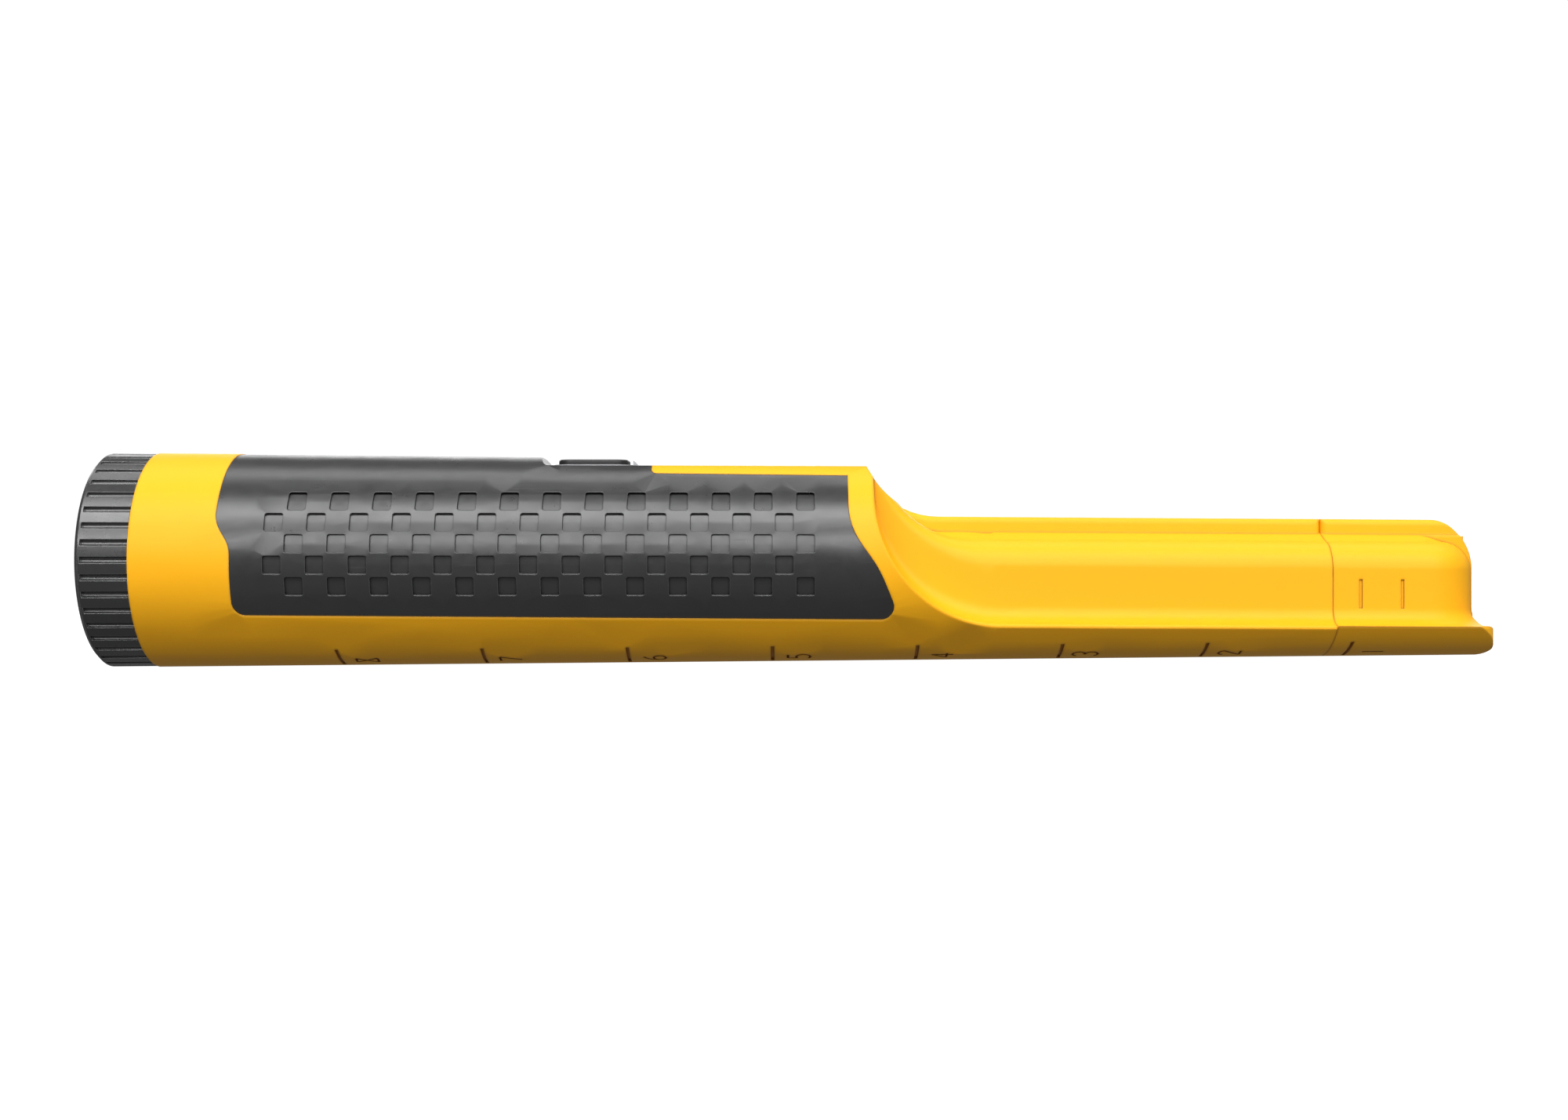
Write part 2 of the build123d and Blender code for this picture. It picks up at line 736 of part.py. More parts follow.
def main_housing():
    """Yellow body: collar, grip seat, top strip, shoulder, probe and the nose under the tip."""
    body = body_blank(mouth_x, seam_x)
    nose = rod_x(seam_x - 2, nose_end, nose_radius, z=cavity_centre_z)
    nose = chamfer(nose.edges().sort_by(Axis.X)[-1], nose_wall / 2)
    body += nose
    body -= housing_bore()
    body -= thread_groove()
    body -= grip_region(-overcut)
    body -= [flange_pocket(), pad_slot(), lens_opening(), plate_seat()]
    body -= [*scale_cutters(), *numeral_cutters()]
    return body


def pad_slot():
    """Slot through the housing wall that the button passes."""
    slack = 2 * button_clearance
    return rounded_slab(button_centre_x, button_length + slack, button_width + slack,
                        button_corner + slack / 2, board_top_z, far)


def tip_cover():
    """Cover over the nose; it pushes on and is held by a catch on each side."""
    cover = tip_blank()
    cover -= rod_x(seam_x - 1, nose_end + 2 * nose_fit, nose_radius + nose_fit, z=cavity_centre_z)
    marks = []
    for place in catch_mark_places:
        x = seam_x + place
        low = flank_low_z - probe_fall * (x - spine_scoop_x)
        mark = block((x, x + scale_mark_width), (flank_half_width - catch_mark_depth, far),
                     (low, low - flank_low_z + catch_mark_top_z))
        marks += mirrored_pair(mark)
    return cover - [*marks, *scale_cutters(), *numeral_cutters()]


def name_plate():
    """Blank plate let into the top strip."""
    return plate_solid(0.0)


def plate_seat():
    """Recess for the name plate."""
    return plate_solid(plate_slack)


def plate_solid(slack):
    """The plate's form, grown by a slack all round."""
    centre_x = plate_start + plate_length / 2
    low = flat_z(centre_x) + plate_proud - plate_thickness
    high = low + plate_thickness if slack == 0 else far
    return rounded_slab(centre_x, plate_length + 2 * slack, 2 * (plate_half_width + slack), plate_corner,
                        low, high)


# ---- battery cap ----------------------------------------------------------------------------
def battery_cap():
    """Ribbed cap: skirt and end wall, hollowed for the threaded spigot."""
    rear, front = body_radius(0) - cap_step, body_radius(cap_length) - cap_step
    cap = turned((0, 0), (0, rear - cap_edge_chamfer), (cap_edge_chamfer, rear), (cap_length, front),
                 (cap_length, spigot_radius), (cap_end_wall, spigot_radius), (cap_end_wall, 0))
    groove_radius = cap_groove_width / 2
    groove_z = front + groove_radius - cap_rib_depth
    groove = rod_x(cap_edge_chamfer * 1.5, cap_length + overcut, groove_radius, z=groove_z)
    return cap - [Rot(360 / cap_rib_count * rib, 0, 0) * groove for rib in range(cap_rib_count)]


def cap_spigot():
    """Threaded tube bonded into the cap, with a collar that carries the seal ring."""
    collar_end = cap_length + seal_groove_offset * 2 + seal_groove_width
    collar_radius = seal_bore_radius - thread_clearance
    hollow = spigot_radius - spigot_wall
    groove_start = cap_length + seal_groove_offset
    groove_end = groove_start + seal_groove_width
    groove_floor = seal_centre_radius() - seal_section - seal_fit
    spigot = turned((cap_end_wall, hollow), (cap_end_wall, spigot_radius), (cap_length, spigot_radius),
                    (cap_length, collar_radius), (groove_start, collar_radius), (groove_start, groove_floor),
                    (groove_end, groove_floor), (groove_end, collar_radius), (collar_end, collar_radius),
                    (collar_end, spigot_radius), (spigot_end, spigot_radius), (spigot_end, hollow))
    return spigot + thread_solid(0.0, thread_start(), thread_turns)


def seal_centre_radius():
    """Radius of the seal ring's centre line."""
    return seal_bore_radius - seal_fit - seal_section


def cap_seal():
    """Rubber ring in the spigot's groove."""
    middle = cap_length + seal_groove_offset + seal_groove_width / 2
    return Pos(middle, 0, 0) * Rot(0, 90, 0) * Torus(seal_centre_radius(), seal_section)


def cap_pad():
    """Foam plug in the cap that keeps the battery from rattling."""
    return rod_x(cap_end_wall, battery_start - pad_gap, spigot_radius - spigot_wall - pad_gap)


# ---- battery and its connector --------------------------------------------------------------
def battery():
    """Nine-volt block cell."""
    cell = block((battery_start, battery_front), (-battery_width / 2, battery_width / 2),
                 (-battery_depth / 2, battery_depth / 2))
    cell = fillet(cell.edges().filter_by(Axis.X), battery_corner)
    ends = cell.edges().group_by(Axis.X)
    return chamfer(ends[0] + ends[-1], battery_end_chamfer)


def battery_terminals():
    """Snap stud and snap socket on the cell's front."""
    end = battery_front + terminal_height
    stud = rod_x(battery_front, end, terminal_radius_male, y=terminal_pitch / 2)
    socket = rod_x(battery_front, end, terminal_radius_female, y=-terminal_pitch / 2)
    hollow = terminal_radius_male - snap_cup_clearance
    socket -= rod_x(battery_front + terminal_floor, end + overcut, hollow, y=-terminal_pitch / 2)
    return group([stud, socket])


def snap_hole_radius():
    """Radius of the connector plate's holes, which hold the contact cups."""
    return terminal_radius_female + snap_cup_clearance + snap_cup_wall


def battery_snap():
    """Connector plate that the cell's terminals press into."""
    half_y, half_z = battery_width / 2 - snap_inset[0], battery_depth / 2 - snap_inset[1]
    plate = block((snap_start, snap_end), (-half_y, half_y), (-half_z, half_z))
    plate = fillet(plate.edges().filter_by(Axis.X), battery_corner)
    for y in (-terminal_pitch / 2, terminal_pitch / 2):
        plate -= rod_x(snap_start - 1, snap_end + 1, snap_hole_radius(), y=y)
    return plate


def snap_contacts():
    """Two plated cups in the connector plate."""
    cups = []
    for y in (-terminal_pitch / 2, terminal_pitch / 2):
        cup = rod_x(snap_start, snap_end, snap_hole_radius(), y=y)
        cups.append(cup - rod_x(snap_start - 1, snap_end + 1, snap_hole_radius() - snap_cup_wall, y=y))
    return group(cups)


def battery_leads():
    """Two insulated wires from the connector, through the bulkhead, down to the board."""
    wires = []
    for y in (-lead_spacing / 2, lead_spacing / 2):
        route = [(snap_end, y, lead_height), (board_start + lead_landing, y, lead_height),
                 (board_start + lead_landing, y, board_top_z)]
        wires.append(wire_run(route, lead_radius, lead_bend))
    return group(wires)


# ---- chassis and board ----------------------------------------------------------------------
def rail_blocks():
    """Two rails beside the board, from the bulkhead to the front plate."""
    outer = board_half_width + rail_overhang
    rail = block((bulkhead_start, front_plate_end()), (outer - rail_width, outer),
                 (board_low_z - rail_height, board_low_z))
    return mirrored_pair(rail)


def front_plate_end():
    """Front face of the chassis."""
    return board_end + front_plate_gap + front_plate_thickness


def chassis():
    """Bulkhead, rails and front plate in one moulding, with a cradle for the motor."""
    frame = rod_x(bulkhead_start, bulkhead_end, battery_bore_radius - bulkhead_clearance)
    plate = rod_x(front_plate_end() - front_plate_thickness, front_plate_end(),
                  electronics_bore_radius - bulkhead_clearance)
    plate &= block((0, overall_length), (-far, far), (-far, board_low_z))
    frame += [plate, *rail_blocks()]
    frame -= rod_x(front_plate_end() - 5, front_plate_end() + 5, tail_radius, z=cavity_centre_z)
    for y in (-lead_spacing / 2, lead_spacing / 2):
        frame -= rod_x(bulkhead_start - 1, bulkhead_end + 1, lead_radius + lead_clearance, y=y, z=lead_height)
    notch = coil_lead_spacing / 2 + coil_lead_notch
    frame -= block((board_end, front_plate_end() + 1), (-notch, notch), (coil_lead_height() - 1, far))
    for x, y in screw_places():
        frame -= rod_z(x, y, board_low_z - rail_height - 1, board_low_z + 1, screw_radius)
    return frame


def screw_places():
    """Plan positions of the board's four screws."""
    across = board_half_width - screw_side_inset
    return [(x, y) for x in (board_start + screw_inset, board_end - screw_inset) for y in (-across, across)]


def circuit_board():
    """Main board with its screw holes."""
    board = block((board_start, board_end), (-board_half_width, board_half_width), (board_low_z, board_top_z))
    board = fillet(board.edges().filter_by(Axis.Z), board_corner)
    for x, y in screw_places():
        board -= rod_z(x, y, board_low_z - 1, board_top_z + 1, screw_radius)
    return board


def board_screws():
    """Four pan-head screws into the rails."""
    screws = []
    for x, y in screw_places():
        top = board_top_z + screw_head_height
        head = rod_z(x, y, board_top_z, top, screw_head_radius)
        half_slot = screw_slot[0] / 2
        head -= block((x - half_slot, x + half_slot), (y - far, y + far), (top - screw_slot[1], far))
        screws.append(head + rod_z(x, y, board_low_z - rail_height, board_top_z, screw_radius))
    return group(screws)


# ---- button, switch and lamp ----------------------------------------------------------------
def button_pad():
    """Push button: pad, retaining flange and stem down to the switch."""
    top = flat_z(button_centre_x) + button_proud
    under = wall_under_z() - button_flange_gap
    pad = rounded_slab(button_centre_x, button_length, button_width, button_corner, under, top)
    pad = fillet(pad.edges().group_by(Axis.Z)[-1], button_edge_round)
    reach = 2 * button_flange
    flange = rounded_slab(button_centre_x, button_length + reach, button_width + reach,
                          button_corner + button_flange, under - button_flange_thickness, under)
    stem = rod_z(button_centre_x, 0, plunger_top(), under, plunger_radius + stem_margin)
    return pad + flange + stem


def plunger_top():
    """Top of the switch's plunger at rest, where the button's stem sits on it."""
    return board_top_z + switch_height + switch_reach


def button_bezel():
    """Slim frame round the button, let into the rubber."""
    slack = 2 * button_clearance
    rim = 2 * bezel_width + slack
    low = flat_z(button_centre_x) - grip_thickness
    high = flat_z(button_centre_x) + bezel_height
    frame = rounded_slab(button_centre_x, button_length + rim, button_width + rim,
                         button_corner + rim / 2, low, high)
    return frame - rounded_slab(button_centre_x, button_length + slack, button_width + slack,
                                button_corner + slack / 2, low - 1, high + 1)


def lamp_lens():
    """Clear window whose rear part rises as a ramp to the button's top."""
    start = lens_start()
    top = flat_z(start) + button_proud
    level = flat_z(start)
    outline = Polyline((start, top - 0.1), (start + lens_ramp, level), (start + lens_length, level),
                       (start + lens_length, wall_under_z()), (start, wall_under_z()), close=True)
    return side_prism(outline, lens_width / 2)


def lamp():
    """Round light-emitting diode on the board, under its lens."""
    x = lens_start() + lens_length / 2
    top = wall_under_z() - lamp_gap
    height, reach = lamp_base
    body = rod_z(x, 0, board_top_z + height, top - lamp_radius, lamp_radius)
    dome = Pos(x, 0, top - lamp_radius) * Sphere(lamp_radius)
    return body + rod_z(x, 0, board_top_z, board_top_z + height, lamp_radius + reach) + dome


def switch_body():
    """Tactile switch housing with the hole its plunger slides in."""
    half = switch_side / 2
    case = block((button_centre_x - half, button_centre_x + half), (-half, half),
                 (board_top_z, board_top_z + switch_height))
    well = rod_z(button_centre_x, 0, switch_well_floor(), far, plunger_radius + plunger_fit)
    return case - well


def switch_well_floor():
    """Floor of the plunger's hole."""
    return board_top_z + switch_floor


def switch_plunger():
    """Plunger that the button's stem pushes."""
    low = switch_well_floor() + button_travel + switch_spare_travel
    return rod_z(button_centre_x, 0, low, plunger_top(), plunger_radius)


# ---- parts on the board ---------------------------------------------------------------------
def controller_chip():
    """Square chip with rows of legs."""
    x = board_start + chip_place
    half = chip_side / 2
    low, high = [board_top_z + height for height in chip_heights]
    body = block((x - half, x + half), (-half, half), (low, high))
    body = chamfer(body.edges().group_by(Axis.Z)[-1], chip_chamfer)
    reach, width, height = leg_size
    legs = []
    for leg in range(chip_legs):
        y = -half + chip_side / (chip_legs + 1) * (leg + 1)
        legs.append(block((x - half - reach, x + half + reach), (y - width / 2, y + width / 2),
                          (board_top_z, board_top_z + height)))
    return body + legs


def capacitors():
    """Two upright cans."""
    cans = []
    for y in (-capacitor_spacing / 2, capacitor_spacing / 2):
        x = board_start + chip_place + capacitor_offset
        can = rod_z(x, y, board_top_z, board_top_z + capacitor_height, capacitor_radius)
        cans.append(fillet(can.edges().group_by(Axis.Z)[-1], capacitor_round))
    return group(cans)


def small_parts():
    """Rows of chip resistors and capacitors."""
    length, width, height = small_part_size
    chips = []
    for column in range(small_part_columns):
        for y in small_part_rows:
            x = board_start + chip_place - small_part_offset + small_part_pitch * column
            chips.append(block((x - length / 2, x + length / 2), (y - width / 2, y + width / 2),
                               (board_top_z, board_top_z + height)))
    return group(chips)


def buzzer():
    """Round sounder on the underside of the board."""
    x = board_start + buzzer_radius + buzzer_inset
    low = board_low_z - buzzer_height
    port_radius, port_depth = buzzer_port
    can = rod_z(x, 0, low, board_low_z, buzzer_radius)
    return can - rod_z(x, 0, low - overcut, low + port_depth, port_radius)


# ---- vibration motor ------------------------------------------------------------------------
def motor_start():
    """Rear face of the motor's can."""
    return board_start + buzzer_radius * 2 + motor_offset


def motor_can():
    """Small can motor lying under the board."""
    start = motor_start()
    end = start + motor_length
    can = rod_x(start, end, motor_radius, z=motor_z())
    hole_radius = motor_shaft_radius + motor_fit
    return can - rod_x(end - motor_bearing_depth, end + overcut, hole_radius, z=motor_z())


def motor_z():
    """Height of the motor's axis."""
    return board_low_z - motor_holder_wall - motor_radius


def motor_shaft():
    """Shaft that turns the weight."""
    end = motor_start() + motor_length
    return rod_x(end - motor_shaft_inset, end + motor_shaft_length, motor_shaft_radius, z=motor_z())


def motor_weight():
    """Eccentric half-round weight."""
    end = motor_start() + motor_length + motor_shaft_length
    disc = rod_x(end - motor_weight_length, end, motor_weight_radius, z=motor_z())
    disc &= block((0, overall_length), (-far, far), (-far, motor_z() + motor_weight_cut))
    return disc - rod_x(end - motor_weight_length - 1, end + 1, motor_shaft_radius, z=motor_z())


def motor_holder():
    """Rubber saddle between the motor and the board."""
    start = motor_start() + motor_holder_inset
    end = start + motor_holder_length
    saddle = block((start, end), (-motor_radius, motor_radius), (motor_z(), board_low_z))
    return saddle - rod_x(start - overcut, end + overcut, motor_radius, z=motor_z())


# ---- search coil ----------------------------------------------------------------------------
def coil_end():
    """Front face of the ferrite rod and its bobbin."""
    return cavity_end - bumper_thickness


def ferrite_rod():
    """Rod core of the search coil."""
    return rod_x(coil_end() - ferrite_length, coil_end(), ferrite_radius, z=cavity_centre_z)


def coil_bobbin():
    """Tube for the ferrite with flanges, and a tail that plugs into the chassis."""
    start = coil_end() - ferrite_length
    axis_z = cavity_centre_z
    form = rod_x(start - bobbin_flange_thickness, coil_end(), bobbin_radius, z=axis_z)
    for x in flange_places():
        form += rod_x(x, x + bobbin_flange_thickness, flange_radius, z=axis_z)
    form += rod_x(front_plate_end() - front_plate_thickness, start, tail_radius, z=axis_z)
    form -= rod_x(start, coil_end() + 1, ferrite_radius + ferrite_fit, z=axis_z)
    notch = coil_lead_spacing / 2 + coil_lead_notch
    form -= block((start - 5, winding_end() - 1), (-notch, notch), (coil_lead_height() - 0.6, far))
    return form


def winding_end():
    """Front end of the winding."""
    return coil_end() - bobbin_flange_thickness


def flange_places():
    """Rear faces of the bobbin's flanges: behind the ferrite, and each side of the winding."""
    rear = coil_end() - ferrite_length - bobbin_flange_thickness
    return [rear, winding_end() - winding_length - bobbin_flange_thickness, winding_end()]


def search_coil():
    """Copper winding between two flanges."""
    start = winding_end() - winding_length
    coil = rod_x(start, winding_end(), bobbin_radius + winding_thickness, z=cavity_centre_z)
    return coil - rod_x(start - 1, winding_end() + 1, bobbin_radius, z=cavity_centre_z)


def coil_shield():
    """Thin screen wrapped over the winding."""
    start, end = winding_end() - winding_length, winding_end()
    wrap = rod_x(start, end, screen_radius, z=cavity_centre_z)
    return wrap - rod_x(start - 1, end + 1, screen_radius - shield_thickness, z=cavity_centre_z)


def coil_lead_height():
    """Height of the coil's leads along the bobbin, just above its tube."""
    return cavity_centre_z + bobbin_radius + coil_lead_radius + coil_lead_gap


def coil_leads():
    """Two fine insulated wires from the winding back to the underside of the board."""
    start = flange_places()[1] + bobbin_flange_thickness
    wires = []
    for y in (-coil_lead_spacing / 2, coil_lead_spacing / 2):
        landing_x = board_end - lead_end_inset
        route = [(start, y, coil_lead_height()), (landing_x, y, coil_lead_height()),
                 (landing_x, y, board_low_z)]
        wires.append(wire_run(route, coil_lead_radius, lead_bend))
    return group(wires)


def nose_bumper():
    """Foam disc between the bobbin and the nose's end."""
    return rod_x(coil_end(), cavity_end, flange_radius, z=cavity_centre_z)


SUB_PARTS = [
    main_housing, tip_cover, grip_sleeve, button_pad, button_bezel, lamp_lens, lamp, name_plate,
    battery_cap, cap_spigot, cap_seal, cap_pad, battery, battery_terminals, battery_snap, snap_contacts,
    battery_leads, chassis, circuit_board, board_screws, switch_body, switch_plunger,
    controller_chip, capacitors, small_parts, buzzer, motor_can, motor_shaft, motor_weight,
    motor_holder, ferrite_rod, coil_bobbin, search_coil, coil_shield, coil_leads, nose_bumper,
]

if __name__ == "__main__":
    os.makedirs("parts", exist_ok=True)
    for sub_part in SUB_PARTS:
        export_step(sub_part(), f"parts/{sub_part.__name__}.step")
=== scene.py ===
"""Finished scene of a hand-held pinpointing metal detector, dressed round its CAD frame."""

import logging
import math
from dataclasses import dataclass, field
from enum import Enum
from typing import Any, Optional, Union

import bmesh
import bpy
from mathutils import Matrix, Vector


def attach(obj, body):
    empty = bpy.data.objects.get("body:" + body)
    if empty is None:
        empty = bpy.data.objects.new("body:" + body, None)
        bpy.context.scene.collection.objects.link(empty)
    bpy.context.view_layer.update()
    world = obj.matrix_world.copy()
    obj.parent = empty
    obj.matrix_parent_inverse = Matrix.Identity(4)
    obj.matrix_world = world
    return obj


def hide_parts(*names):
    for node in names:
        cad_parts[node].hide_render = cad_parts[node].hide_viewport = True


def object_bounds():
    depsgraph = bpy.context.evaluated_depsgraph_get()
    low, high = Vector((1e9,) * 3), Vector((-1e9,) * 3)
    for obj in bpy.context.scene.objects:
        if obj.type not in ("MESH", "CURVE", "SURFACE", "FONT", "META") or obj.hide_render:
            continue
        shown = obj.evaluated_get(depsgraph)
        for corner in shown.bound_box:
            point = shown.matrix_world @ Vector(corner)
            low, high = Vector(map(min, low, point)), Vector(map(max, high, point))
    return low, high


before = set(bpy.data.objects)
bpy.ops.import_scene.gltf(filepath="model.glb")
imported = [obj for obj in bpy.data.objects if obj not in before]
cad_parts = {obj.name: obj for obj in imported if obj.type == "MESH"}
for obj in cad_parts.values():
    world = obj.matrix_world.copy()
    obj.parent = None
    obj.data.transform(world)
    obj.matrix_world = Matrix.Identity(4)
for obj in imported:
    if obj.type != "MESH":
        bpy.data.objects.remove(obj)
cad_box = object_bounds()

log = logging.getLogger("detector")
MM = 0.001
Number = Union[float, "Signal"]
Colour = tuple[float, float, float]


# ---- shader maths -------------------------------------------------------------------------------
class Signal:
    """A number put out by a node, on which Python's operators add Math nodes."""

    def __init__(self, graph: "Graph", socket: bpy.types.NodeSocket) -> None:
        """Keeps the graph and the socket.

        Args:
            graph: the graph that the socket belongs to.
            socket: the output that carries the number.
        """
        self.graph = graph
        self.socket = socket

    def __add__(self, other: Number) -> "Signal":
        """Sum."""
        return self.graph.maths("ADD", self, other)

    def __radd__(self, other: Number) -> "Signal":
        """Sum with a number on the left."""
        return self.graph.maths("ADD", other, self)

    def __sub__(self, other: Number) -> "Signal":
        """Difference."""
        return self.graph.maths("SUBTRACT", self, other)

    def __rsub__(self, other: Number) -> "Signal":
        """Difference from a number on the left."""
        return self.graph.maths("SUBTRACT", other, self)

    def __mul__(self, other: Number) -> "Signal":
        """Product."""
        return self.graph.maths("MULTIPLY", self, other)

    def __rmul__(self, other: Number) -> "Signal":
        """Product with a number on the left."""
        return self.graph.maths("MULTIPLY", other, self)

    def smaller(self, other: Number) -> "Signal":
        """The smaller of the two."""
        return self.graph.maths("MINIMUM", self, other)

    def larger(self, other: Number) -> "Signal":
        """The larger of the two."""
        return self.graph.maths("MAXIMUM", self, other)

    def band(self, low: float, high: float) -> "Signal":
        """Zero under low, one over high, and a smooth rise between them."""
        settings = {"interpolation_type": "SMOOTHSTEP"}
        inputs = {"Value": self, "From Min": low, "From Max": high}
        return Signal(self.graph, self.graph.node("ShaderNodeMapRange", settings, inputs).outputs["Result"])


class Graph:
    """The nodes of one material."""

    def __init__(self, name: str) -> None:
        """Starts an empty material with its surface shader.

        Args:
            name: the material's name.
        """
        self.material = bpy.data.materials.new(name)
        self.material.use_nodes = True
        self.tree = self.material.node_tree
        self.tree.nodes.clear()
        self.shader = self.node("ShaderNodeBsdfPrincipled")
        self.node("ShaderNodeOutputMaterial", inputs={"Surface": self.shader.outputs["BSDF"]})
        self.place = self.node("ShaderNodeTexCoord").outputs["Object"]

    def node(self, kind: str, settings: Optional[dict[str, Any]] = None,
             inputs: Optional[dict[Any, Any]] = None) -> bpy.types.Node:
        """Adds one node.

        Args:
            kind: the node's type.
            settings: properties that are set first.
            inputs: values or links of its sockets, by name or number.

        Returns:
            The new node.
        """
        made = self.tree.nodes.new(kind)
        for key, value in (settings or {}).items():
            if key == "stops":
                self._set_stops(made, value)
            else:
                setattr(made, key, value)
        for key, value in (inputs or {}).items():
            self.feed(made.inputs[key], value)
        return made

    @staticmethod
    def _set_stops(ramp: bpy.types.Node, stops: list[tuple[float, Colour]]) -> None:
        """Writes a colour ramp's stops, each a place and a colour."""
        elements = ramp.color_ramp.elements
        while len(elements) < len(stops):
            elements.new(0.5)
        for element, (position, colour) in zip(elements, stops):
            element.position = position
            element.color = (*colour, 1.0)

    def feed(self, socket: bpy.types.NodeSocket, value: Any) -> None:
        """Links a socket or sets its value.

        Args:
            socket: the input.
            value: a Signal, an output socket, a number or a colour.
        """
        if isinstance(value, Signal):
            self.tree.links.new(value.socket, socket)
        elif isinstance(value, bpy.types.NodeSocket):
            self.tree.links.new(value, socket)
        elif isinstance(value, tuple) and len(value) == 3 and socket.type == "RGBA":
            socket.default_value = (*value, 1.0)
        else:
            socket.default_value = value

    def maths(self, operation: str, first: Number, second: Number = 0.0) -> Signal:
        """A Math node on two numbers."""
        made = self.node("ShaderNodeMath", {"operation": operation}, {0: first, 1: second})
        return Signal(self, made.outputs[0])

    def stretched(self, scale: tuple[float, float, float], turn: tuple[float, float, float] = (0, 0, 0),
                  shift: tuple[float, float, float] = (0, 0, 0)) -> bpy.types.NodeSocket:
        """Object coordinates after a Mapping node."""
        inputs = {"Vector": self.place, "Scale": scale, "Rotation": turn, "Location": shift}
        return self.node("ShaderNodeMapping", inputs=inputs).outputs["Vector"]

    def noise(self, scale: float, detail: float = 2.0, roughness: float = 0.5,
              vector: Optional[bpy.types.NodeSocket] = None) -> Signal:
        """Noise from zero to one at so many cells a metre."""
        inputs = {"Vector": vector or self.place, "Scale": scale, "Detail": detail, "Roughness": roughness}
        return Signal(self, self.node("ShaderNodeTexNoise", inputs=inputs).outputs["Fac"])

    def cells(self, scale: float, feature: str = "F1") -> Signal:
        """Distance to the nearest cell's centre or border."""
        made = self.node("ShaderNodeTexVoronoi", {"feature": feature}, {"Vector": self.place, "Scale": scale})
        return Signal(self, made.outputs["Distance"])

    def axis(self, name: str) -> Signal:
        """One object coordinate, X, Y or Z, in metres."""
        return Signal(self, self.node("ShaderNodeSeparateXYZ", inputs={"Vector": self.place}).outputs[name])

    def mixed(self, share: Number, first: Any, second: Any) -> bpy.types.NodeSocket:
        """A colour between two colours."""
        made = self.node("ShaderNodeMix", {"data_type": "RGBA"}, {0: share, 6: first, 7: second})
        return made.outputs[2]

    def rounded(self, radius: float) -> bpy.types.NodeSocket:
        """The surface's direction with its edges rounded to a small radius."""
        return self.node("ShaderNodeBevel", {"samples": 4}, {"Radius": radius}).outputs["Normal"]

    def edge_mask(self, radius: float) -> Signal:
        """One on sharp edges, falling to zero a radius away."""
        true_normal = self.node("ShaderNodeNewGeometry").outputs["Normal"]
        turned = self.node("ShaderNodeVectorMath", {"operation": "DOT_PRODUCT"},
                           {0: self.rounded(radius), 1: true_normal}).outputs["Value"]
        return (1 - Signal(self, turned)).band(0.01, 0.25)

    def crevice_shade_mask(self, reach: float) -> Signal:
        """Ambient occlusion as a mask for painted shade: one deep in grooves and corners narrower than a reach, and
        zero in the open.
        """
        settings = {"samples": 8, "only_local": True}
        made = self.node("ShaderNodeAmbientOcclusion", settings, {"Distance": reach})
        return (1 - Signal(self, made.outputs["AO"])).band(0.06, 0.6)

    def bump(self, height: Signal, depth: float, normal: Any = None) -> bpy.types.NodeSocket:
        """Direction of a surface raised by a height from zero to one times a depth in metres."""
        inputs = {"Height": height, "Distance": depth, "Strength": 1.0}
        if normal is not None:
            inputs["Normal"] = normal
        return self.node("ShaderNodeBump", inputs=inputs).outputs["Normal"]


# ---- finishes -----------------------------------------------------------------------------------
class Lay(Enum):
    """How a surface's fine marks lie."""

    ALONG = (60.0, 2400.0, 2400.0)
    ACROSS = (2400.0, 60.0, 2400.0)
    NONE = (900.0, 900.0, 900.0)


